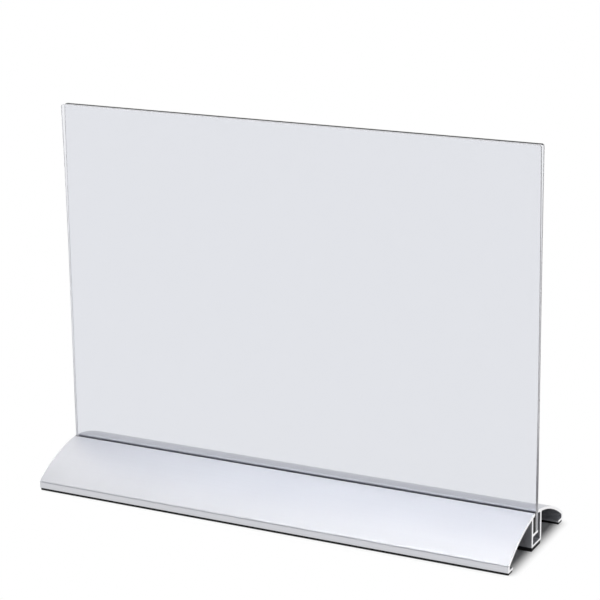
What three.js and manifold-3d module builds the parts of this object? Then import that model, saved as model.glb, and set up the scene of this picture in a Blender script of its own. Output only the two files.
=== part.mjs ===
// Table menu holder: two clear sheets stand in the channel of an extruded aluminium base.
// Millimetres. X runs along the holder, Y from its front to its back, Z up from the table.
// Every section is drawn in the Y-Z plane and run along X.

import * as THREE from 'three';
import { mergeVertices } from 'three/addons/utils/BufferGeometryUtils.js';
import Module from 'manifold-3d';

// Whole holder
const HOLDER_LENGTH = 210;
const BASE_DEPTH = 60;
const CROWN_HEIGHT = 15.3;

// Base extrusion; lip and crown heights are measured from the table
const SHELL_WALL = 1.2;
const SHELL_BULGE = 2.2;
const LIP_HEIGHT = 3.6;
const CREASE_WIDTH = 0.45;
const CREASE_DEPTH = 0.35;
const FLANGE_WIDTH = 4.7;
const FLANGE_WALL = 0.9;
const CHANNEL_WIDTH = 8;
const CHANNEL_WALL = 1.1;
const CHANNEL_FLOOR = 0.8;
const SOCKET_DEPTH = 8.3;
const LEDGE_WALL = 1;
const EDGE_RADIUS = 0.3;
const ROOT_RADIUS = 0.6;
const LEAD_IN_SHARE = 0.6; // of the shell's wall, taken by the rounding of the rear mouth edge

// Clear sheets: upright in the socket, then bowed apart towards the top
const SHEET_HEIGHT = 153;
const SHEET_THICKNESS = 1;
const SHEET_CORNER_RADIUS = 1;
const SHEET_GAP = 0.3;
const UPRIGHT_HEIGHT = 78;
const FRONT_SHEET_LEAN = 1.7;
const BACK_SHEET_LEAN = 0.6;

// Grip strip: a block on the ledge with a tongue that rises through the mouth
const TONGUE_THICKNESS = 0.6;
const TONGUE_DROP = 0.3;
const SHOULDER_RADIUS = 1;

// Foot strips
const FOOT_THICKNESS = 1;
const CENTRE_FOOT_THICKNESS = 1.7;
const FOOT_INSET = 0.4;
const FOOT_END_INSET = 0.2;

// Clearances
const GRIP_CLEARANCE = 0.1;
const MOUTH_CLEARANCE = 0.3;

// Curve steps
const CROWN_STEPS = 24;
const BOW_STEPS = 8;
const CORNER_STEPS = 4;

const FRONT = -1;
const REAR = 1;

// Heights and half widths that several pieces share
const halfDepth = BASE_DEPTH / 2;
const creaseTop = LIP_HEIGHT + CREASE_WIDTH;
const crownRise = CROWN_HEIGHT - creaseTop;
const shellSpan = Math.hypot(halfDepth, crownRise);
const crownRadius = (shellSpan ** 2 / 4 + SHELL_BULGE ** 2) / (2 * SHELL_BULGE);
const vaultRadius = crownRadius - SHELL_WALL;
const channelHalf = CHANNEL_WIDTH / 2;
const channelOuter = channelHalf + CHANNEL_WALL;
const ledgeTop = CROWN_HEIGHT - SOCKET_DEPTH;
const sheetFace = SHEET_GAP / 2 + SHEET_THICKNESS;
const gripFace = sheetFace + GRIP_CLEARANCE;
const tongueBack = gripFace + TONGUE_THICKNESS;
const mouthEdge = {
  [FRONT]: FRONT * (tongueBack + GRIP_CLEARANCE),
  [REAR]: REAR * (sheetFace + MOUTH_CLEARANCE),
};
const mouthRadius = {
  [FRONT]: EDGE_RADIUS,
  [REAR]: LEAD_IN_SHARE * SHELL_WALL,
};

// A corner of a section outline, rounded where it has a radius.
function corner(y, z, radius = 0) {
  return { at: new THREE.Vector2(y, z), radius };
}

// Centre of one shell's arc, which bulges from the ridge on the middle plane to the crease.
function crownCentre(side) {
  const middle = new THREE.Vector2(side * halfDepth / 2, creaseTop + crownRise / 2);
  const inward = new THREE.Vector2(-side * crownRise, -halfDepth).normalize();
  return middle.addScaledVector(inward, crownRadius - SHELL_BULGE);
}

// Height of a circle about a shell's centre, at a place across the section.
function arcHeight(side, radius, y) {
  const centre = crownCentre(side);
  return centre.y + Math.sqrt(radius ** 2 - (y - centre.x) ** 2);
}

// Outline corners along a circle about a shell's centre, between two places across the section.
function crownArc(side, radius, fromY, toY) {
  const centre = crownCentre(side);
  const start = Math.acos((fromY - centre.x) / radius);
  const end = Math.acos((toY - centre.x) / radius);
  const arc = new THREE.EllipseCurve(centre.x, centre.y, radius, radius, start, end, end < start);
  return arc.getPoints(CROWN_STEPS).map((point) => corner(point.x, point.y));
}

// The points that take the place of one corner: itself, or a curve that touches both of its edges.
function cornerPoints({ at, radius }, before, after) {
  if (radius === 0) {
    return [at];
  }
  const back = before.clone().sub(at).normalize();
  const ahead = after.clone().sub(at).normalize();
  const reach = radius / Math.tan(back.angleTo(ahead) / 2);
  const start = at.clone().addScaledVector(back, reach);
  const end = at.clone().addScaledVector(ahead, reach);
  return new THREE.QuadraticBezierCurve(start, at, end).getPoints(CORNER_STEPS);
}

function outlineShape(corners) {
  const count = corners.length;
  const points = corners.flatMap((item, index) => {
    const before = corners[(index + count - 1) % count].at;
    const after = corners[(index + 1) % count].at;
    return cornerPoints(item, before, after);
  });
  return new THREE.Shape(points);
}

// Runs a Y-Z section along X, centred on the holder's middle.
function runAlongLength(corners, length) {
  const settings = { depth: length, bevelEnabled: false };
  const geometry = new THREE.ExtrudeGeometry(outlineShape(corners), settings);
  geometry.translate(0, 0, -length / 2);
  const along = new THREE.Vector3(1, 0, 0);
  const across = new THREE.Vector3(0, 1, 0);
  const upward = new THREE.Vector3(0, 0, 1);
  return geometry.applyMatrix4(new THREE.Matrix4().makeBasis(across, upward, along));
}

// Runs an X-Z outline through Y, centred on the holder's middle plane.
function runThroughDepth(corners, depth) {
  const settings = { depth, bevelEnabled: false };
  const geometry = new THREE.ExtrudeGeometry(outlineShape(corners), settings);
  geometry.translate(0, 0, -depth / 2);
  const along = new THREE.Vector3(1, 0, 0);
  const upward = new THREE.Vector3(0, 0, 1);
  const forward = new THREE.Vector3(0, -1, 0);
  return geometry.applyMatrix4(new THREE.Matrix4().makeBasis(along, upward, forward));
}

const wasm = await Module();
wasm.setup();

function toSolid(geometry) {
  const bare = geometry.clone();
  bare.deleteAttribute('normal');
  bare.deleteAttribute('uv');
  const merged = mergeVertices(bare);
  return new wasm.Manifold(new wasm.Mesh({
    numProp: 3,
    vertProperties: new Float32Array(merged.attributes.position.array),
    triVerts: new Uint32Array(merged.index.array),
  }));
}

function toGeometry(solid) {
  const mesh = solid.getMesh();
  const geometry = new THREE.BufferGeometry();
  geometry.setAttribute('position', new THREE.BufferAttribute(mesh.vertProperties, 3));
  geometry.setIndex(new THREE.BufferAttribute(mesh.triVerts, 1));
  geometry.computeVertexNormals();
  return geometry;
}

// The ledge in the channel: from the front wall to just behind the back sheet.
function ledgeCorners() {
  const wall = FRONT * channelHalf;
  const ledgeFoot = ledgeTop - LEDGE_WALL;
  return [
    corner(wall, ledgeTop),
    corner(mouthEdge[REAR], ledgeTop, EDGE_RADIUS),
    corner(mouthEdge[REAR], ledgeFoot, EDGE_RADIUS),
    corner(wall, ledgeFoot),
  ];
}

// One half of the base section: up the channel's outer face, out under the shell, round the flange
// and the lip, back over the shell to the mouth and down the channel's inner face.
function baseHalf(side, ledge) {
  const lip = side * halfDepth;
  const lipInside = side * (halfDepth - SHELL_WALL);
  const flangeTip = side * (halfDepth - FLANGE_WIDTH);
  const flangeTop = FOOT_THICKNESS + FLANGE_WALL;
  const wallOuter = side * channelOuter;
  const wallInner = side * channelHalf;
  const mouth = mouthEdge[side];
  return [
    corner(wallOuter, CENTRE_FOOT_THICKNESS, EDGE_RADIUS),
    corner(wallOuter, arcHeight(side, vaultRadius, wallOuter), ROOT_RADIUS),
    ...crownArc(side, vaultRadius, wallOuter, lipInside).slice(1, -1),
    corner(lipInside, arcHeight(side, vaultRadius, lipInside)),
    corner(lipInside, flangeTop),
    corner(flangeTip, flangeTop, EDGE_RADIUS),
    corner(flangeTip, FOOT_THICKNESS, EDGE_RADIUS),
    corner(lip, FOOT_THICKNESS, EDGE_RADIUS),
    corner(lip, LIP_HEIGHT, EDGE_RADIUS / 2),
    corner(lip - side * CREASE_DEPTH, LIP_HEIGHT + CREASE_WIDTH / 2),
    ...crownArc(side, crownRadius, lip, mouth).slice(0, -1),
    corner(mouth, arcHeight(side, crownRadius, mouth), mouthRadius[side]),
    corner(mouth, arcHeight(side, vaultRadius, mouth), EDGE_RADIUS),
    corner(wallInner, arcHeight(side, vaultRadius, wallInner)),
    ...ledge,
    corner(wallInner, CENTRE_FOOT_THICKNESS + CHANNEL_FLOOR),
  ];
}

function baseProfile() {
  const section = [...baseHalf(REAR, []), ...baseHalf(FRONT, ledgeCorners()).reverse()];
  return runAlongLength(section, HOLDER_LENGTH);
}

// A bowed strip of sheet, cut to an outline with two rounded corners at the top.
function clearSheet(side, lean) {
  const bowStart = ledgeTop + UPRIGHT_HEIGHT;
  const bowRise = SHEET_HEIGHT - UPRIGHT_HEIGHT;
  const bowRadius = (bowRise ** 2 + lean ** 2) / (2 * lean);
  const bowCentre = side * (sheetFace + bowRadius);
  const upright = side === REAR ? Math.PI : 0;
  const tip = upright - side * Math.asin((bowRise + SHEET_THICKNESS) / bowRadius);
  const face = (radius) => {
    const arc = new THREE.EllipseCurve(bowCentre, bowStart, radius, radius, upright, tip, side === REAR);
    return arc.getPoints(BOW_STEPS).map((point) => corner(point.x, point.y));
  };
  const strip = [
    corner(side * (sheetFace - SHEET_THICKNESS), ledgeTop),
    ...face(bowRadius + SHEET_THICKNESS),
    ...face(bowRadius).reverse(),
    corner(side * sheetFace, ledgeTop),
  ];
  const halfLength = HOLDER_LENGTH / 2;
  const sheetTop = ledgeTop + SHEET_HEIGHT;
  const outline = [
    corner(-halfLength, 0),
    corner(halfLength, 0),
    corner(halfLength, sheetTop, SHEET_CORNER_RADIUS),
    corner(-halfLength, sheetTop, SHEET_CORNER_RADIUS),
  ];
  const blank = toSolid(runAlongLength(strip, HOLDER_LENGTH + 2 * SHEET_THICKNESS));
  return toGeometry(blank.intersect(toSolid(runThroughDepth(outline, BASE_DEPTH))));
}

function gripStrip() {
  const wall = FRONT * (channelHalf - GRIP_CLEARANCE);
  const seat = ledgeTop + GRIP_CLEARANCE;
  const shoulder = arcHeight(FRONT, vaultRadius, FRONT * channelHalf) - GRIP_CLEARANCE;
  const tongueTop = CROWN_HEIGHT - TONGUE_DROP;
  const section = [
    corner(wall, seat),
    corner(FRONT * gripFace, seat),
    corner(FRONT * gripFace, tongueTop, EDGE_RADIUS),
    corner(FRONT * tongueBack, tongueTop, EDGE_RADIUS),
    corner(FRONT * tongueBack, shoulder),
    corner(wall, shoulder, SHOULDER_RADIUS),
  ];
  return runAlongLength(section, HOLDER_LENGTH);
}

function footStrip(fromY, toY, thickness) {
  const section = [
    corner(fromY, 0),
    corner(toY, 0),
    corner(toY, thickness),
    corner(fromY, thickness),
  ];
  return runAlongLength(section, HOLDER_LENGTH - 2 * FOOT_END_INSET);
}

const anodisedAluminium = { color: 0xd9dce3, roughness: 0.34, metalness: 1 };
const clearPlastic = { color: 0xe8ecef, roughness: 0.06, metalness: 0, transparent: true, opacity: 0.3 };
const blackRubber = { color: 0x17171a, roughness: 0.8, metalness: 0 };

const lipStart = halfDepth - FOOT_INSET;
const lipEnd = halfDepth - FLANGE_WIDTH + FOOT_INSET;
const centreHalf = channelOuter - FOOT_INSET;

const pieces = [
  ['base_profile', baseProfile(), anodisedAluminium],
  ['grip_strip', gripStrip(), blackRubber],
  ['front_sheet', clearSheet(FRONT, FRONT_SHEET_LEAN), clearPlastic],
  ['back_sheet', clearSheet(REAR, BACK_SHEET_LEAN), clearPlastic],
  ['front_foot_strip', footStrip(-lipStart, -lipEnd, FOOT_THICKNESS), blackRubber],
  ['centre_foot_strip', footStrip(-centreHalf, centreHalf, CENTRE_FOOT_THICKNESS), blackRubber],
  ['rear_foot_strip', footStrip(lipEnd, lipStart, FOOT_THICKNESS), blackRubber],
];

const holder = new THREE.Group();
for (const [name, geometry, finish] of pieces) {
  const piece = new THREE.Mesh(geometry, new THREE.MeshStandardMaterial(finish));
  piece.name = name;
  holder.add(piece);
}

export default holder;
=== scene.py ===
"""Table menu holder: an extruded aluminium base, two clear sheets, a grip strip and three foot strips.

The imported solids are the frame. Each piece here is a finer mesh that stands for one solid and rides on
its body.
"""

import math

import bmesh
import bpy
from bpy.props import FloatProperty, FloatVectorProperty, IntProperty, PointerProperty
from bpy.types import Operator, Panel, PropertyGroup
from mathutils import Matrix, Vector


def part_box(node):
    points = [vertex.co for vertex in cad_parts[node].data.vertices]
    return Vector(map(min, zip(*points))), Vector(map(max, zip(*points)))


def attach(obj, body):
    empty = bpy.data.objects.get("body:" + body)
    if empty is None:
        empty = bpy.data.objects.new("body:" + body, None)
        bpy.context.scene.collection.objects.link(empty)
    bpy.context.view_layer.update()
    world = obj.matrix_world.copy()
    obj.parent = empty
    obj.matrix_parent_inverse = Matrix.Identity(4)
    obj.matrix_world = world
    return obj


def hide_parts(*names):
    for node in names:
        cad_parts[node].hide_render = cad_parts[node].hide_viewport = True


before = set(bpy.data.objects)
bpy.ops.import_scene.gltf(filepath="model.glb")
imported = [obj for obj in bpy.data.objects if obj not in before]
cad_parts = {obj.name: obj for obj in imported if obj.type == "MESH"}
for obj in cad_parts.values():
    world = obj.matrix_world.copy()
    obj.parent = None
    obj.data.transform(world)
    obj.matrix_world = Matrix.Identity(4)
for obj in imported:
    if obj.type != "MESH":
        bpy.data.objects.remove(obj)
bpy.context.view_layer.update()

bl_info = {
    "name": "Menu Holder",
    "version": (1, 0, 0),
    "blender": (4, 5, 0),
    "location": "View3D > Sidebar > Menu Holder",
    "description": "Builds a table menu holder with an extruded base and two clear sheets",
    "category": "Add Mesh",
}

BASE_LOW, BASE_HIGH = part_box("base_profile")
SHEET_LOW, SHEET_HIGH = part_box("front_sheet")
GRIP_LOW, GRIP_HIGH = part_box("grip_strip")
FLANGE_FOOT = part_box("front_foot_strip")[1].z
CHANNEL_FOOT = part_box("centre_foot_strip")[1].z

FRONT = -1
REAR = 1
# One millimetre, in metres.
MM = 0.001

SHARP_ANGLE = math.radians(32)
ACRYLIC_IOR = 1.49
# A noise texture's values nearly all lie in this range.
NOISE_RANGE = {"From Min": 0.3, "From Max": 0.7}

# Table, in metres: half its side, how far inside the footprint the shadow's fade starts, and its width.
TABLE_HALF = 4.0
SHADOW_INSET = 0.004
SHADOW_FADE = 0.008
# Painted light and shade in the table's glow as reflections find it, in front of the holder and behind it,
# and where that changes.
TABLE_GLOW_FRONT = 1.1
TABLE_GLOW_BEHIND = 0.92
TABLE_GLOW_REACH = 0.04

# White room: its light from the left and the right, reached where a direction points this far sideways.
ROOM_LEFT = 1.15
ROOM_RIGHT = 0.05
ROOM_TURN = 0.3
# What reflections find of the room at the horizon, and how high up it is full white.
HORIZON_GLOW = 0.72
HORIZON_TOP = 0.4

# Lamps, in metres and watts.
KEY_PLACE = (-0.9, -0.6, 1.5)
KEY_SIZE = (0.8, 0.8)
KEY_POWER = 21.6
CARD_PLACE = (0.063, 0.309, 0.7)
CARD_SIZE = (1.1, 1.45)
CARD_POWER = 3.9
CARD_TURN = math.radians(17.0)

# Camera: sensor and lens in millimetres, shift as a share of the sensor, clips and place in metres.
SENSOR_WIDTH = 36.0
FOCAL_LENGTH = 123.404
LENS_SHIFT = -0.12
CLIP_NEAR = 0.01
CLIP_FAR = 50.0
CAMERA_PLACE = (0.36049, -0.70458, 0.31649)
CAMERA_HEADING = math.radians(26.847)
CAMERA_PITCH = math.radians(14.122)
CAMERA_ROLL = math.radians(-0.733)


def linear(hex_colour):
    """The linear colour of an sRGB hex value."""
    channels = [int(hex_colour[start:start + 2], 16) / 255 for start in (1, 3, 5)]
    return [
        channel / 12.92 if channel <= 0.04045 else ((channel + 0.055) / 1.055) ** 2.4
        for channel in channels
    ]


def length(name, description, default):
    """A size property in metres."""
    return FloatProperty(
        name=name,
        description=description,
        default=default,
        min=0.0,
        precision=5,
        unit="LENGTH",
        subtype="DISTANCE",
    )


def colour(name, description, hex_colour):
    """A colour property that starts from an sRGB hex value."""
    return FloatVectorProperty(
        name=name,
        description=description,
        default=linear(hex_colour),
        min=0.0,
        max=1.0,
        size=3,
        subtype="COLOR",
    )


class HolderSizes(PropertyGroup):
    """Sizes of the menu holder's pieces"""

    holder_length: length("Length", "Length of the base and the sheets", BASE_HIGH.x - BASE_LOW.x)
    base_depth: length("Base depth", "Depth of the base from lip to lip", BASE_HIGH.y - BASE_LOW.y)
    crown_height: length("Crown height", "Height of the ridge that the two shells would meet at", 0.0153)
    shell_wall: length("Shell wall", "Wall of the domed shells", 0.0012)
    shell_bulge: length("Shell bulge", "How far a shell bulges over its chord", 0.0022)
    lip_height: length("Lip height", "Height of the upright lips above the table", 0.0036)
    crease_width: length("Crease width", "Width of the groove between a lip and its shell", 0.00045)
    crease_depth: length("Crease depth", "Depth of the groove between a lip and its shell", 0.00035)
    flange_width: length("Flange width", "Width of the flange under each lip", 0.0047)
    flange_wall: length("Flange wall", "Wall of the flange under each lip", 0.0009)
    channel_width: length("Channel width", "Clear width of the channel", 0.008)
    channel_wall: length("Channel wall", "Wall of the channel's sides", 0.0011)
    channel_floor: length("Channel floor", "Wall of the channel's floor", 0.0008)
    ledge_top: length("Ledge height", "Height of the ledge that carries the sheets", SHEET_LOW.z)
    ledge_wall: length("Ledge wall", "Wall of the ledge", 0.001)
    front_mouth: length("Front mouth edge", "Front shell's edge from the middle plane", 0.00195)
    rear_mouth: length("Rear mouth edge", "Rear shell's edge from the middle plane", 0.00145)
    edge_radius: length("Edge radius", "Rounding of the extrusion's edges", 0.0003)
    root_radius: length("Root radius", "Rounding where a shell meets the channel", 0.0006)
    lead_in_radius: length("Lead-in radius", "Rounding of the rear shell's edge at the mouth", 0.00072)
    edge_break: length("Edge break", "Chamfer left by deburring the sawn ends", 0.00012)
    sheet_top: length("Sheet top", "Height of the sheets' top edges", SHEET_HIGH.z)
    sheet_thickness: length("Sheet thickness", "Thickness of each sheet", 0.001)
    sheet_gap: length("Sheet gap", "Gap between the sheets where they stand upright", 0.0003)
    sheet_corner: length("Sheet corner", "Radius of the sheets' top corners", 0.001)
    sheet_foot_corner: length("Sheet foot corner", "Radius of the sheets' bottom corners", 0.0005)
    sheet_edge_break: length("Sheet edge break", "Chamfer of the sheets' sides", 0.00012)
    sheet_rim_break: length("Sheet rim break", "Chamfer of the sheets' top and bottom edges", 0.0003)
    bow_start: length("Bow start", "Height at which the sheets start to part", 0.085)
    front_sheet_lean: length("Front sheet lean", "How far the front sheet leans forward at its top", 0.0012)
    back_sheet_lean: length("Back sheet lean", "How far the back sheet leans back at its top", 0.0004)
    shoulder_radius: length("Shoulder radius", "Rounding of the grip strip's shoulder", 0.001)
    tongue_thickness: length("Tongue thickness", "Thickness of the grip strip's tongue", 0.0006)
    grip_clearance: length("Grip clearance", "Clearance round the grip strip", 0.0001)
    foot_rounding: length("Foot rounding", "Rounding of the foot strips' edges", 0.00018)
    arc_steps: IntProperty(name="Arc steps", description="Facets along one shell", default=72, min=8)
    bow_steps: IntProperty(name="Bow steps", description="Rows of facets up one sheet", default=40, min=8)
    corner_steps: IntProperty(name="Corner steps", description="Facets round one corner", default=5, min=1)


class HolderFinishes(PropertyGroup):
    """Colours of the menu holder's materials"""

    anodised: colour("Anodised", "Satin silver anodised aluminium", "#CDCED2")
    anodised_shade: colour("Anodised shade", "Deeper tone of the anodised aluminium", "#C7C8CD")
    sawn: colour("Sawn", "Bare aluminium at the sawn ends", "#FAFAFB")
    sheet: colour("Sheet", "What one clear sheet leaves of white light", "#EFF0F3")
    sheet_edge: colour("Sheet edge", "Cut edges of the clear sheets", "#EEEEF3")
    # Painted shade on the cut edges just above the base, where they look down into the channel.
    sheet_edge_painted_shade: colour("Low sheet edge", "Cut edges where they look down into the channel", "#50505A")
    # Painted shade: the back sheet's top edge is clear acrylic, coloured near-black where it reads dark.
    sheet_rim: colour("Sheet rim", "Top edge of the back sheet", "#191A1D")
    rubber: colour("Rubber", "Black rubber of the grip strip", "#0E0E0F")
    foam: colour("Foam", "Black foam of the foot strips", "#111112")
    floor: colour("Floor", "White table top", "#F4F5F4")
    room: colour("Room", "White room round the table", "#FFFFFF")


def fillet(before, at, after, radius, steps):
    """The points of the arc that rounds one corner of an outline."""
    back = (before - at).normalized()
    ahead = (after - at).normalized()
    half_angle = back.angle(ahead) / 2
    centre = at + (back + ahead).normalized() * radius / math.sin(half_angle)
    start = at + back * radius / math.tan(half_angle) - centre
    end = at + ahead * radius / math.tan(half_angle) - centre
    turn = math.atan2(start.x * end.y - start.y * end.x, start.dot(end))
    return [centre + Matrix.Rotation(turn * step / steps, 2) @ start for step in range(steps + 1)]


def rounded(corners, steps):
    """An outline from corners given as (y, z) or (y, z, radius), anticlockwise as seen from +X."""
    points = []
    spots = [Vector(corner[:2]) for corner in corners]
    for index, corner in enumerate(corners):
        if len(corner) == 2:
            points.append(spots[index])
        else:
            after = spots[(index + 1) % len(spots)]
            points += fillet(spots[index - 1], spots[index], after, corner[2], steps)
    twice_area = sum(
        here.x * there.y - here.y * there.x for here, there in zip(points, points[1:] + points[:1])
    )
    return points if twice_area > 0 else points[::-1]


def inset(outline, amount):
    """The outline drawn in by an amount, for an anticlockwise outline."""
    drawn_in = []
    for index, at in enumerate(outline):
        before = outline[index - 1]
        after = outline[(index + 1) % len(outline)]
        edges = [(at - before).normalized(), (after - at).normalized()]
        inward = [Vector((-edge.y, edge.x)) for edge in edges]
        drawn_in.append(at + (inward[0] + inward[1]) * amount / (1 + inward[0].dot(inward[1])))
    return drawn_in


def joined(mesh_builder, rings):
    """Joins each ring of points to the next, and gives each new face with its row and its place in it."""
    for row, (ring, following) in enumerate(zip(rings, rings[1:])):
        for index in range(len(ring)):
            ahead = (index + 1) % len(ring)
            corners = (ring[index], ring[ahead], following[ahead], following[index])
            yield row, index, mesh_builder.faces.new(corners)


def finished_piece(name, mesh_builder, materials):
    """An object from a closed mesh, with smooth curves, sharp edges and even normals."""
    bmesh.ops.recalc_face_normals(mesh_builder, faces=mesh_builder.faces)
    mesh = bpy.data.meshes.new(name)
    mesh_builder.to_mesh(mesh)
    mesh_builder.free()
    mesh.shade_smooth()
    mesh.set_sharp_from_angle(angle=SHARP_ANGLE)
    for material in materials:
        mesh.materials.append(material)
    piece = bpy.data.objects.new(name, mesh)
    bpy.context.scene.collection.objects.link(piece)
    even = piece.modifiers.new("Even normals", "WEIGHTED_NORMAL")
    even.keep_sharp = True
    return piece


def bar(name, outline, bar_length, end_break, materials):
    """A bar along X with a chamfer round each end; the last material is the ends'."""
    mesh_builder = bmesh.new()
    drawn_in = inset(outline, end_break)
    half = bar_length / 2
    stations = [(-half, drawn_in), (end_break - half, outline), (half - end_break, outline), (half, drawn_in)]
    rings = [[mesh_builder.verts.new((x, *point)) for point in section] for x, section in stations]
    # The rows are one end's chamfer, the sides and the other end's chamfer.
    side_row = 1
    end_material = len(materials) - 1
    for row, _, face in joined(mesh_builder, rings):
        face.material_index = 0 if row == side_row else end_material
    for ring in (rings[0], rings[-1]):
        mesh_builder.faces.new(ring).material_index = end_material
    return finished_piece(name, mesh_builder, materials)


def seat(piece, body, node):
    """Sets a piece in the frame: what it rides on, and hides the solid it stands for."""
    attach(piece, body)
    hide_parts(node)


def add(tree, kind, values=None, **settings):
    """Adds a node with its settings; a value that is a socket is linked, any other is set."""
    node = tree.nodes.new(kind)
    for name, setting in settings.items():
        setattr(node, name, setting)
    for socket, value in (values or {}).items():
        if isinstance(value, bpy.types.NodeSocket):
            tree.links.new(value, node.inputs[socket])
        else:
            node.inputs[socket].default_value = value
    return node


def blank_material(name):
    """A material and its empty node tree."""
    material = bpy.data.materials.new(name)
    material.use_nodes = True
    material.node_tree.nodes.clear()
    return material, material.node_tree


def rgba(linear_colour):
    """A colour socket's value."""
    return (*linear_colour, 1.0)


def lengthwise(run, pitch):
    """A texture's scale for lines along X that run for one length and lie another apart."""
    return (1 / run, 1 / pitch, 1 / pitch)


def anodised_aluminium(finishes):
    """Extruded, etched and anodised: a satin silver skin with faint lines drawn along it by the die."""
    line_run = 150 * MM
    line_pitch = 0.5 * MM
    line_depth = 0.04 * MM
    film_patch = 60 * MM
    material, tree = blank_material("satin_anodised_aluminium")
    place = add(tree, "ShaderNodeTexCoord").outputs["Object"]
    along = add(tree, "ShaderNodeMapping", {"Vector": place, "Scale": lengthwise(line_run, line_pitch)})
    lines = add(
        tree,
        "ShaderNodeTexNoise",
        {"Vector": along.outputs[0], "Scale": 1.0, "Detail": 3.0, "Roughness": 0.6},
    ).outputs["Fac"]
    # The anodic film's thickness drifts from patch to patch.
    drift = add(tree, "ShaderNodeTexNoise", {"Vector": place, "Scale": 1 / film_patch, "Detail": 2.0})
    tone = add(
        tree,
        "ShaderNodeMix",
        {"Factor": drift.outputs["Fac"], "A": rgba(finishes.anodised), "B": rgba(finishes.anodised_shade)},
        data_type="RGBA",
    )
    gloss = add(tree, "ShaderNodeMapRange", {"Value": lines, **NOISE_RANGE, "To Min": 0.36, "To Max": 0.44})
    grain = add(tree, "ShaderNodeBump", {"Height": lines, "Strength": 0.12, "Distance": line_depth})
    skin = add(
        tree,
        "ShaderNodeBsdfPrincipled",
        {
            "Base Color": tone.outputs["Result"],
            "Metallic": 1.0,
            "Roughness": gloss.outputs["Result"],
            "Normal": grain.outputs["Normal"],
        },
    )
    add(tree, "ShaderNodeOutputMaterial", {"Surface": skin.outputs[0]})
    return material


def sawn_aluminium(finishes):
    """Cut with a fine circular saw: bare bright metal with shallow arcs from the teeth."""
    blade_centre = Vector((0, -20, -90)) * MM
    # The marks are drawn further apart than a fine saw leaves them, so that they show.
    mark_pitch = 1.1 * MM
    mark_depth = 0.04 * MM
    # At a scale of 1, a wave's rings lie this far apart.
    ring_pitch = math.pi / 10
    material, tree = blank_material("sawn_aluminium")
    place = add(tree, "ShaderNodeTexCoord").outputs["Object"]
    centred = add(tree, "ShaderNodeMapping", {"Vector": place, "Location": -blade_centre})
    arcs = add(
        tree,
        "ShaderNodeTexWave",
        {"Vector": centred.outputs[0], "Scale": ring_pitch / mark_pitch, "Distortion": 0.6, "Detail": 2.0},
        wave_type="RINGS",
        rings_direction="X",
    ).outputs["Fac"]
    gloss = add(tree, "ShaderNodeMapRange", {"Value": arcs, "To Min": 0.24, "To Max": 0.38})
    marks = add(tree, "ShaderNodeBump", {"Height": arcs, "Strength": 0.15, "Distance": mark_depth})
    face = add(
        tree,
        "ShaderNodeBsdfPrincipled",
        {
            "Base Color": rgba(finishes.sawn),
            "Metallic": 1.0,
            "Roughness": gloss.outputs["Result"],
            "Normal": marks.outputs["Normal"],
        },
    )
    add(tree, "ShaderNodeOutputMaterial", {"Surface": face.outputs[0]})
    return material


def clear_acrylic(finishes):
    """Extruded clear acrylic: polished, with faint wipe marks, and light passes with a slight grey tint."""
    wipe_length = 25 * MM
    wipe_width = 6 * MM
    material, tree = blank_material("clear_acrylic")
    place = add(tree, "ShaderNodeTexCoord").outputs["Object"]
    wiped = add(tree, "ShaderNodeMapping", {"Vector": place, "Scale": (1 / wipe_length, 1.0, 1 / wipe_width)})
    marks = add(tree, "ShaderNodeTexNoise", {"Vector": wiped.outputs[0], "Scale": 1.0, "Detail": 4.0})
    gloss = add(
        tree,
        "ShaderNodeMapRange",
        {"Value": marks.outputs["Fac"], "From Min": 0.45, "From Max": 0.8, "To Min": 0.0, "To Max": 0.05},
    )
    clear = add(
        tree,
        "ShaderNodeBsdfPrincipled",
        {
            "Base Color": rgba(finishes.sheet),
            "Roughness": gloss.outputs["Result"],
            "IOR": ACRYLIC_IOR,
            "Transmission Weight": 1.0,
        },
    )
    # Lamps shine straight through, and each of a sheet's two faces takes half of its tint.
    lamp_path = add(tree, "ShaderNodeLightPath")
    one_face = [channel ** 0.5 for channel in finishes.sheet]
    open_way = add(tree, "ShaderNodeBsdfTransparent", {"Color": rgba(one_face)})
    lit_through = add(
        tree,
        "ShaderNodeMixShader",
        {0: lamp_path.outputs["Is Shadow Ray"], 1: clear.outputs[0], 2: open_way.outputs[0]},
    )
    add(tree, "ShaderNodeOutputMaterial", {"Surface": lit_through.outputs[0]})
    return material


def blade_gloss(tree, place):
    """Roughness of an acrylic edge left as the blade cut it, with fine ticks."""
    tick_pitch = 0.8 * MM
    ticks = add(tree, "ShaderNodeTexNoise", {"Vector": place, "Scale": 1 / tick_pitch, "Detail": 2.0})
    gloss = add(
        tree,
        "ShaderNodeMapRange",
        {"Value": ticks.outputs["Fac"], **NOISE_RANGE, "To Min": 0.25, "To Max": 0.45},
    )
    return gloss.outputs["Result"]


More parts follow.
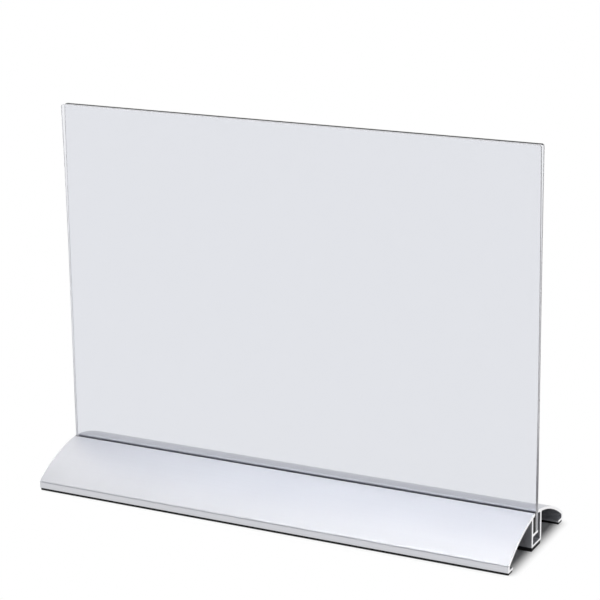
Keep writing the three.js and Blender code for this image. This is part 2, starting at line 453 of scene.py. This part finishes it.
def cut_acrylic(finishes):
    """Acrylic cut with a fine blade: a satin edge that gathers the sheet's tint into a darker line, with
    painted shade by height.
    """
    # Painted shade: an edge is light up to the first height, dark from the second to the third, and light
    # from the fourth.
    light_to = 13 * MM
    dark_from = 22 * MM
    dark_to = 26 * MM
    light_from = 60 * MM
    material, tree = blank_material("cut_acrylic_edge")
    place = add(tree, "ShaderNodeTexCoord").outputs["Object"]
    # Painted shade for light that reaches an edge along the sheet: just above the base it has come by way of
    # the dark channel.
    height = add(tree, "ShaderNodeSeparateXYZ", {"Vector": place}).outputs["Z"]
    above, below = (
        add(
            tree,
            "ShaderNodeMapRange",
            {"Value": height, "From Min": dark, "From Max": light},
            interpolation_type="SMOOTHSTEP",
        ).outputs["Result"]
        for dark, light in ((dark_to, light_from), (dark_from, light_to))
    )
    outside = add(tree, "ShaderNodeMath", {0: above, 1: below}, operation="MAXIMUM")
    # Painted reflection: seen from within the sheet, the edge takes the light tone, as if it mirrored the
    # room.
    inside = add(tree, "ShaderNodeNewGeometry").outputs["Backfacing"]
    painted_light_share = add(tree, "ShaderNodeMath", {0: outside.outputs[0], 1: inside}, operation="MAXIMUM")
    # Painted shade and reflection: the edge's colour goes from the painted dark tone to the light one by that
    # mask.
    tone = add(
        tree,
        "ShaderNodeMix",
        {"Factor": painted_light_share.outputs[0], "A": rgba(finishes.sheet_edge_painted_shade), "B": rgba(finishes.sheet_edge)},
        data_type="RGBA",
    )
    # Down in the channel no light comes from behind, and the matt cut itself shows.
    clearness = add(tree, "ShaderNodeMapRange", {"Value": below, "To Min": 0.65, "To Max": 0.0})
    edge = add(
        tree,
        "ShaderNodeBsdfPrincipled",
        {
            "Base Color": tone.outputs["Result"],
            "Roughness": blade_gloss(tree, place),
            "IOR": ACRYLIC_IOR,
            "Transmission Weight": clearness.outputs["Result"],
        },
    )
    add(tree, "ShaderNodeOutputMaterial", {"Surface": edge.outputs[0]})
    return material


def painted_shade_rim(finishes):
    """Cut acrylic at the rear sheet's top, with painted shade: near-black where the edge looks down inside
    the sheet and reads dark.
    """
    material, tree = blank_material("cut_acrylic_rim")
    place = add(tree, "ShaderNodeTexCoord").outputs["Object"]
    rim = add(
        tree,
        "ShaderNodeBsdfPrincipled",
        {"Base Color": rgba(finishes.sheet_rim), "Roughness": blade_gloss(tree, place), "IOR": ACRYLIC_IOR},
    )
    add(tree, "ShaderNodeOutputMaterial", {"Surface": rim.outputs[0]})
    return material


def black_rubber(finishes):
    """Extruded EPDM rubber: black with a low sheen, slightly uneven along its flow lines."""
    line_run = 40 * MM
    line_pitch = 0.4 * MM
    line_depth = 0.05 * MM
    material, tree = blank_material("black_epdm_rubber")
    place = add(tree, "ShaderNodeTexCoord").outputs["Object"]
    along = add(tree, "ShaderNodeMapping", {"Vector": place, "Scale": lengthwise(line_run, line_pitch)})
    flow = add(
        tree,
        "ShaderNodeTexNoise",
        {"Vector": along.outputs[0], "Scale": 1.0, "Detail": 2.0},
    ).outputs["Fac"]
    sheen = add(tree, "ShaderNodeMapRange", {"Value": flow, **NOISE_RANGE, "To Min": 0.5, "To Max": 0.7})
    grain = add(tree, "ShaderNodeBump", {"Height": flow, "Strength": 0.2, "Distance": line_depth})
    skin = add(
        tree,
        "ShaderNodeBsdfPrincipled",
        {
            "Base Color": rgba(finishes.rubber),
            "Roughness": sheen.outputs["Result"],
            "IOR": 1.5,
            "Specular IOR Level": 0.25,
            "Normal": grain.outputs["Normal"],
        },
    )
    add(tree, "ShaderNodeOutputMaterial", {"Surface": skin.outputs[0]})
    return material


def black_foam(finishes):
    """Slit from a sheet of closed-cell foam: matt black with open cells on every cut face."""
    cell_width = 0.35 * MM
    cell_depth = 0.1 * MM
    material, tree = blank_material("black_cell_foam")
    place = add(tree, "ShaderNodeTexCoord").outputs["Object"]
    cells = add(
        tree,
        "ShaderNodeTexVoronoi",
        {"Vector": place, "Scale": 1 / cell_width},
    ).outputs["Distance"]
    tone = add(tree, "ShaderNodeMapRange", {"Value": cells, "From Max": 0.7, "To Min": 0.85, "To Max": 0.98})
    pits = add(tree, "ShaderNodeBump", {"Height": cells, "Strength": 0.5, "Distance": cell_depth})
    skin = add(
        tree,
        "ShaderNodeBsdfPrincipled",
        {
            "Base Color": rgba(finishes.foam),
            "Roughness": tone.outputs["Result"],
            "IOR": 1.5,
            "Normal": pits.outputs["Normal"],
        },
    )
    add(tree, "ShaderNodeOutputMaterial", {"Surface": skin.outputs[0]})
    return material


class Crown:
    """One shell's two concentric arcs, from the ridge over the middle plane to the crease."""

    def __init__(self, sizes, side):
        half_depth = sizes.base_depth / 2
        crease_top = sizes.lip_height + sizes.crease_width
        rise = sizes.crown_height - crease_top
        span = math.hypot(half_depth, rise)
        self.steps = sizes.arc_steps
        self.outer = (span ** 2 / 4 + sizes.shell_bulge ** 2) / (2 * sizes.shell_bulge)
        self.inner = self.outer - sizes.shell_wall
        middle = Vector((side * half_depth / 2, crease_top + rise / 2))
        inward = Vector((-side * rise, -half_depth)).normalized()
        self.centre = middle + inward * (self.outer - sizes.shell_bulge)

    def height(self, radius, y):
        """Height of an arc at a place across the section."""
        return self.centre.y + math.sqrt(radius ** 2 - (y - self.centre.x) ** 2)

    def arc(self, radius, from_y, to_y):
        """Points along an arc between two places across the section."""
        start, end = (math.asin((y - self.centre.x) / radius) for y in (from_y, to_y))
        turns = [start + (end - start) * step / self.steps for step in range(self.steps + 1)]
        return [
            (self.centre.x + radius * math.sin(turn), self.centre.y + radius * math.cos(turn))
            for turn in turns
        ]


class MENUHOLDER_OT_base(Operator):
    """Builds the extruded base with its domed shells, lips, flanges and channel"""

    bl_idname = "menu_holder.base"
    bl_label = "Base"

    def execute(self, context):
        sizes = context.scene.menu_holder_sizes
        finishes = context.scene.menu_holder_finishes
        section = self.half(sizes, REAR) + self.half(sizes, FRONT)[::-1]
        outline = rounded(section, sizes.corner_steps)
        materials = [anodised_aluminium(finishes), sawn_aluminium(finishes)]
        piece = bar("extruded_base", outline, sizes.holder_length, sizes.edge_break, materials)
        seat(piece, "base", "base_profile")
        return {"FINISHED"}

    def half(self, sizes, side):
        """One half of the section, from the channel's outer face round the shell and down its inner face."""
        crown = Crown(sizes, side)
        flange_top = FLANGE_FOOT + sizes.flange_wall
        wall_inner = side * sizes.channel_width / 2
        wall_outer = wall_inner + side * sizes.channel_wall
        lip = side * sizes.base_depth / 2
        lip_inside = lip - side * sizes.shell_wall
        flange_tip = lip - side * sizes.flange_width
        edge = sizes.edge_radius
        mouth, mouth_radius = {
            FRONT: (-sizes.front_mouth, edge),
            REAR: (sizes.rear_mouth, sizes.lead_in_radius),
        }[side]
        # An arc stops two radii short of a rounded corner, which leaves the rounding its room.
        root = wall_outer + 2 * side * sizes.root_radius
        crest = mouth + 2 * side * mouth_radius
        corners = [
            (wall_outer, CHANNEL_FOOT, edge),
            (wall_outer, crown.height(crown.inner, wall_outer), sizes.root_radius),
            *crown.arc(crown.inner, root, lip_inside),
            (lip_inside, flange_top, edge / 2),
            (flange_tip, flange_top, edge),
            (flange_tip, FLANGE_FOOT, edge),
            (lip, FLANGE_FOOT, edge),
            (lip, sizes.lip_height, edge / 2),
            (lip - side * sizes.crease_depth, sizes.lip_height + sizes.crease_width / 2),
            *crown.arc(crown.outer, lip, crest),
            (mouth, crown.height(crown.outer, mouth), mouth_radius),
            (mouth, crown.height(crown.inner, mouth), edge),
            (wall_inner, crown.height(crown.inner, wall_inner)),
        ]
        if side == FRONT:
            ledge_foot = sizes.ledge_top - sizes.ledge_wall
            corners += [
                (wall_inner, sizes.ledge_top),
                (sizes.rear_mouth, sizes.ledge_top, edge),
                (sizes.rear_mouth, ledge_foot, edge),
                (wall_inner, ledge_foot, edge),
            ]
        return corners + [(wall_inner, CHANNEL_FOOT + sizes.channel_floor, edge)]


class MENUHOLDER_OT_sheets(Operator):
    """Builds the two clear sheets, upright in the channel and bowed apart towards the top"""

    bl_idname = "menu_holder.sheets"
    bl_label = "Clear sheets"

    def execute(self, context):
        sizes = context.scene.menu_holder_sizes
        finishes = context.scene.menu_holder_finishes
        clear = clear_acrylic(finishes)
        edge = cut_acrylic(finishes)
        rim = painted_shade_rim(finishes)
        front = self.sheet(sizes, FRONT, "clear_front_sheet", sizes.front_sheet_lean, [clear, edge])
        back = self.sheet(sizes, REAR, "clear_back_sheet", sizes.back_sheet_lean, [clear, edge, rim])
        seat(front, "front_sheet", "front_sheet")
        seat(back, "back_sheet", "back_sheet")
        return {"FINISHED"}

    def edge_points(self, sizes, draw_in):
        """The right half of a sheet's outline from foot to top, drawn in sideways and upwards."""
        half = sizes.holder_length / 2
        points = []
        for radius, height, first in (
            (sizes.sheet_foot_corner, sizes.ledge_top + sizes.sheet_foot_corner, -math.pi / 2),
            (sizes.sheet_corner, sizes.sheet_top - sizes.sheet_corner, 0.0),
        ):
            # Each corner turns a quarter round, in twice the steps that the smaller roundings have.
            steps = 2 * sizes.corner_steps
            for step in range(steps + 1):
                turn = first + math.pi / 2 * step / steps
                sideways = (radius - draw_in[0]) * math.cos(turn)
                upwards = (radius - draw_in[1]) * math.sin(turn)
                points.append((half - radius + sideways, height + upwards))
        return points

    def rows(self, sizes, draw_in):
        """Edge points with rows between the foot's and the top's corners, so that the sheet can bow."""
        points = self.edge_points(sizes, draw_in)
        middle = len(points) // 2
        low, high = points[middle - 1][1], points[middle][1]
        count = sizes.bow_steps
        between = [(points[middle][0], low + (high - low) * row / count) for row in range(1, count)]
        return points[:middle] + between + points[middle:]

    def sheet(self, sizes, side, name, lean, materials):
        """One sheet with chamfered edges, as a tube of rows; the last material is the top edge's."""
        mesh_builder = bmesh.new()
        chamfer = sizes.sheet_edge_break
        drawn_in = (chamfer, sizes.sheet_rim_break)
        thickness = sizes.sheet_thickness
        rise = sizes.sheet_top - sizes.bow_start
        bow_radius = (rise ** 2 + lean ** 2) / (2 * lean)
        bow_centre = sizes.sheet_gap / 2 + thickness + bow_radius

        def bowed(height, depth):
            above = max(height - sizes.bow_start, 0.0)
            return side * (bow_centre - math.sqrt((bow_radius + thickness - depth) ** 2 - above ** 2))

        rings = []
        for wide, face in zip(self.rows(sizes, (0.0, 0.0)), self.rows(sizes, drawn_in)):
            right = [(*face, 0.0), (*wide, chamfer), (*wide, thickness - chamfer), (*face, thickness)]
            left = [(-x, z, depth) for x, z, depth in right[::-1]]
            rings.append([mesh_builder.verts.new((x, bowed(z, depth), z)) for x, z, depth in right + left])
        # A ring's faces go round one cut side, then a broad face, the other cut side and a broad face.
        last = len(rings[0]) - 1
        half = last // 2
        clear, edge, rim = 0, 1, len(materials) - 1
        rim_row = len(rings) - 1 - sizes.corner_steps
        for row, index, quad in joined(mesh_builder, rings):
            cut = rim if row >= rim_row else edge
            quad.material_index = clear if index in (half, last) else cut
        for ring, cut in ((rings[0], edge), (rings[-1], rim)):
            for near in range(half):
                far = last - near
                quad = mesh_builder.faces.new((ring[near], ring[near + 1], ring[far - 1], ring[far]))
                quad.material_index = cut
        return finished_piece(name, mesh_builder, materials)


class MENUHOLDER_OT_grip(Operator):
    """Builds the black grip strip that fills the front of the channel and shows along the mouth"""

    bl_idname = "menu_holder.grip"
    bl_label = "Grip strip"

    def execute(self, context):
        sizes = context.scene.menu_holder_sizes
        edge = sizes.edge_radius
        tongue_front = GRIP_HIGH.y - sizes.tongue_thickness
        crown = Crown(sizes, FRONT)
        shoulder = crown.height(crown.inner, -sizes.channel_width / 2) - sizes.grip_clearance
        section = [
            (GRIP_LOW.y, GRIP_LOW.z, edge),
            (GRIP_HIGH.y, GRIP_LOW.z, edge),
            (GRIP_HIGH.y, GRIP_HIGH.z, edge),
            (tongue_front, GRIP_HIGH.z, edge),
            (tongue_front, shoulder),
            (GRIP_LOW.y, shoulder, sizes.shoulder_radius),
        ]
        material = black_rubber(context.scene.menu_holder_finishes)
        outline = rounded(section, sizes.corner_steps)
        piece = bar("rubber_grip_strip", outline, GRIP_HIGH.x - GRIP_LOW.x, sizes.edge_break, [material])
        seat(piece, "base", "grip_strip")
        return {"FINISHED"}


class MENUHOLDER_OT_feet(Operator):
    """Builds the three black foam strips that the base stands on"""

    bl_idname = "menu_holder.feet"
    bl_label = "Foot strips"

    def execute(self, context):
        sizes = context.scene.menu_holder_sizes
        material = black_foam(context.scene.menu_holder_finishes)
        for place in ("front", "centre", "rear"):
            node = f"{place}_foot_strip"
            low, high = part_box(node)
            section = [(low.y, low.z), (high.y, low.z), (high.y, high.z), (low.y, high.z)]
            outline = rounded([(*corner, sizes.foot_rounding) for corner in section], sizes.corner_steps)
            piece = bar(f"foam_{place}_foot", outline, high.x - low.x, sizes.foot_rounding, [material])
            seat(piece, "base", node)
        return {"FINISHED"}


class MENUHOLDER_OT_stage(Operator):
    """Sets the white table, the soft light and the camera"""

    bl_idname = "menu_holder.stage"
    bl_label = "Stage"

    def execute(self, context):
        scene = context.scene
        scene.view_settings.view_transform = "Standard"
        self.table(scene)
        self.surroundings(scene)
        # The key lamp isn't mirrored in the metal, and the card overhead is there only to be mirrored.
        key_turn = (-Vector(KEY_PLACE)).to_track_quat("-Z", "Y").to_euler()
        key = self.softbox(scene, "key_softbox", KEY_PLACE, key_turn, KEY_SIZE, KEY_POWER)
        key.visible_glossy = False
        card_turn = (0.0, 0.0, CARD_TURN)
        card = self.softbox(scene, "overhead_card", CARD_PLACE, card_turn, CARD_SIZE, CARD_POWER)
        card.visible_diffuse = False
        card.data.cycles.use_multiple_importance_sampling = False
        self.camera(scene)
        return {"FINISHED"}

    def seen(self, tree):
        """1 for rays that show the background itself: straight, mirrored or through the sheets."""
        path = add(tree, "ShaderNodeLightPath")
        straight_or_mirrored = add(
            tree,
            "ShaderNodeMath",
            {0: path.outputs["Is Camera Ray"], 1: path.outputs["Is Glossy Ray"]},
            operation="MAXIMUM",
        )
        shown = add(
            tree,
            "ShaderNodeMath",
            {0: straight_or_mirrored.outputs[0], 1: path.outputs["Is Transmission Ray"]},
            operation="MAXIMUM",
        )
        return shown.outputs[0]

    def mirrored(self, tree):
        """1 for rays that come off a reflecting surface, 0 for those through a sheet."""
        path = add(tree, "ShaderNodeLightPath")
        reflected = add(
            tree,
            "ShaderNodeMath",
            {0: path.outputs["Is Glossy Ray"], 1: path.outputs["Is Transmission Ray"]},
            operation="SUBTRACT",
            use_clamp=True,
        )
        return reflected.outputs[0]

    def table(self, scene):
        """A white table top that takes the holder's shadow and runs out into the white room."""
        material, tree = blank_material("white_table")
        white = add(tree, "ShaderNodeBsdfDiffuse", {"Color": rgba(scene.menu_holder_finishes.floor)})
        # How far a point lies past the start of the fade, which is just inside the holder's footprint.
        reach = BASE_HIGH - Vector((SHADOW_INSET, SHADOW_INSET, 0.0))
        place = add(tree, "ShaderNodeNewGeometry").outputs["Position"]
        folded = add(tree, "ShaderNodeVectorMath", {0: place}, operation="ABSOLUTE")
        past = add(tree, "ShaderNodeVectorMath", {0: folded.outputs[0], 1: reach}, operation="SUBTRACT")
        outside = add(
            tree,
            "ShaderNodeVectorMath",
            {0: past.outputs[0], 1: (0.0, 0.0, 0.0)},
            operation="MAXIMUM",
        )
        away = add(tree, "ShaderNodeVectorMath", {0: outside.outputs[0]}, operation="LENGTH")
        rising = add(
            tree,
            "ShaderNodeMapRange",
            {"Value": away.outputs["Value"], "From Max": SHADOW_FADE},
            interpolation_type="SMOOTHSTEP",
        )
        share = add(
            tree,
            "ShaderNodeMath",
            {0: self.seen(tree), 1: rising.outputs["Result"]},
            operation="MULTIPLY",
        )
        # Painted light and shade: reflections find the table brighter in front of the holder than behind it,
        # where a dimmer glow stands in for the holder's shade.
        across = add(tree, "ShaderNodeSeparateXYZ", {"Vector": place}).outputs["Y"]
        reflected = add(
            tree,
            "ShaderNodeMapRange",
            {
                "Value": across,
                "From Min": -TABLE_GLOW_REACH,
                "From Max": TABLE_GLOW_REACH,
                "To Min": TABLE_GLOW_FRONT,
                "To Max": TABLE_GLOW_BEHIND,
            },
        )
        glow = add(
            tree,
            "ShaderNodeMix",
            {"Factor": self.mirrored(tree), "A": 1.0, "B": reflected.outputs["Result"]},
            data_type="FLOAT",
        )
        room = add(tree, "ShaderNodeEmission", {"Strength": glow.outputs["Result"]})
        both = add(
            tree,
            "ShaderNodeMixShader",
            {0: share.outputs[0], 1: white.outputs[0], 2: room.outputs[0]},
        )
        add(tree, "ShaderNodeOutputMaterial", {"Surface": both.outputs[0]})
        mesh_builder = bmesh.new()
        bmesh.ops.create_grid(mesh_builder, x_segments=1, y_segments=1, size=TABLE_HALF)
        mesh = bpy.data.meshes.new("table_top")
        mesh_builder.to_mesh(mesh)
        mesh_builder.free()
        mesh.materials.append(material)
        table_top = bpy.data.objects.new("table_top", mesh)
        scene.collection.objects.link(table_top)

    def surroundings(self, scene):
        """A white room, with its light on the holder coming from the left."""
        world = bpy.data.worlds.new("white_room")
        scene.world = world
        world.use_nodes = True
        tree = world.node_tree
        tree.nodes.clear()
        direction = add(tree, "ShaderNodeTexCoord").outputs["Generated"]
        heading = add(tree, "ShaderNodeSeparateXYZ", {"Vector": direction})
        from_left = add(
            tree,
            "ShaderNodeMapRange",
            {
                "Value": heading.outputs["X"],
                "From Min": -ROOM_TURN,
                "From Max": ROOM_TURN,
                "To Min": ROOM_LEFT,
                "To Max": ROOM_RIGHT,
            },
            interpolation_type="SMOOTHSTEP",
        )
        # Reflections find the room a little darker towards the horizon.
        low_down = add(
            tree,
            "ShaderNodeMapRange",
            {"Value": heading.outputs["Z"], "From Max": HORIZON_TOP, "To Min": HORIZON_GLOW},
            interpolation_type="SMOOTHSTEP",
        )
        shown = add(
            tree,
            "ShaderNodeMix",
            {"Factor": self.mirrored(tree), "A": 1.0, "B": low_down.outputs["Result"]},
            data_type="FLOAT",
        )
        strength = add(
            tree,
            "ShaderNodeMix",
            {"Factor": self.seen(tree), "A": from_left.outputs["Result"], "B": shown.outputs["Result"]},
            data_type="FLOAT",
        )
        white = add(
            tree,
            "ShaderNodeBackground",
            {"Color": rgba(scene.menu_holder_finishes.room), "Strength": strength.outputs["Result"]},
        )
        add(tree, "ShaderNodeOutputWorld", {"Surface": white.outputs[0]})

    def softbox(self, scene, name, place, turn, size, power):
        """A rectangular soft lamp, which shines down until it is turned."""
        lamp = bpy.data.lights.new(name, "AREA")
        lamp.shape = "RECTANGLE"
        lamp.size, lamp.size_y = size
        lamp.energy = power
        holder = bpy.data.objects.new(name, lamp)
        holder.location = place
        holder.rotation_euler = turn
        holder.visible_camera = False
        holder.visible_transmission = False
        scene.collection.objects.link(holder)
        return holder

    def camera(self, scene):
        """The photograph's view, with a long lens."""
        lens = bpy.data.cameras.new("camera")
        lens.sensor_width = SENSOR_WIDTH
        lens.lens = FOCAL_LENGTH
        lens.shift_y = LENS_SHIFT
        lens.clip_start = CLIP_NEAR
        lens.clip_end = CLIP_FAR
        camera = bpy.data.objects.new("camera", lens)
        turn = (
            Matrix.Rotation(CAMERA_HEADING, 4, "Z")
            @ Matrix.Rotation(math.pi / 2 - CAMERA_PITCH, 4, "X")
            @ Matrix.Rotation(CAMERA_ROLL, 4, "Z")
        )
        camera.matrix_world = Matrix.Translation(CAMERA_PLACE) @ turn
        scene.collection.objects.link(camera)
        scene.camera = camera


class MENUHOLDER_PT_panel(Panel):
    """Lists the holder's pieces, sizes and colours"""

    bl_idname = "MENUHOLDER_PT_panel"
    bl_label = "Menu Holder"
    bl_space_type = "VIEW_3D"
    bl_region_type = "UI"
    bl_category = "Menu Holder"

    def draw(self, context):
        for operator in OPERATORS:
            self.layout.operator(operator.bl_idname)
        for group in (context.scene.menu_holder_sizes, context.scene.menu_holder_finishes):
            column = self.layout.column(align=True)
            for name in group.bl_rna.properties.keys():
                if name not in ("rna_type", "name"):
                    column.prop(group, name)


OPERATORS = (
    MENUHOLDER_OT_base,
    MENUHOLDER_OT_sheets,
    MENUHOLDER_OT_grip,
    MENUHOLDER_OT_feet,
    MENUHOLDER_OT_stage,
)
CLASSES = (HolderSizes, HolderFinishes, *OPERATORS, MENUHOLDER_PT_panel)


def register():
    for cls in CLASSES:
        bpy.utils.register_class(cls)
    bpy.types.Scene.menu_holder_sizes = PointerProperty(type=HolderSizes)
    bpy.types.Scene.menu_holder_finishes = PointerProperty(type=HolderFinishes)


def unregister():
    del bpy.types.Scene.menu_holder_finishes
    del bpy.types.Scene.menu_holder_sizes
    for cls in reversed(CLASSES):
        bpy.utils.unregister_class(cls)


def main():
    """Builds every piece and the stage."""
    register()
    bpy.ops.menu_holder.base()
    bpy.ops.menu_holder.sheets()
    bpy.ops.menu_holder.grip()
    bpy.ops.menu_holder.feet()
    bpy.ops.menu_holder.stage()


if __name__ == "__main__":
    main()
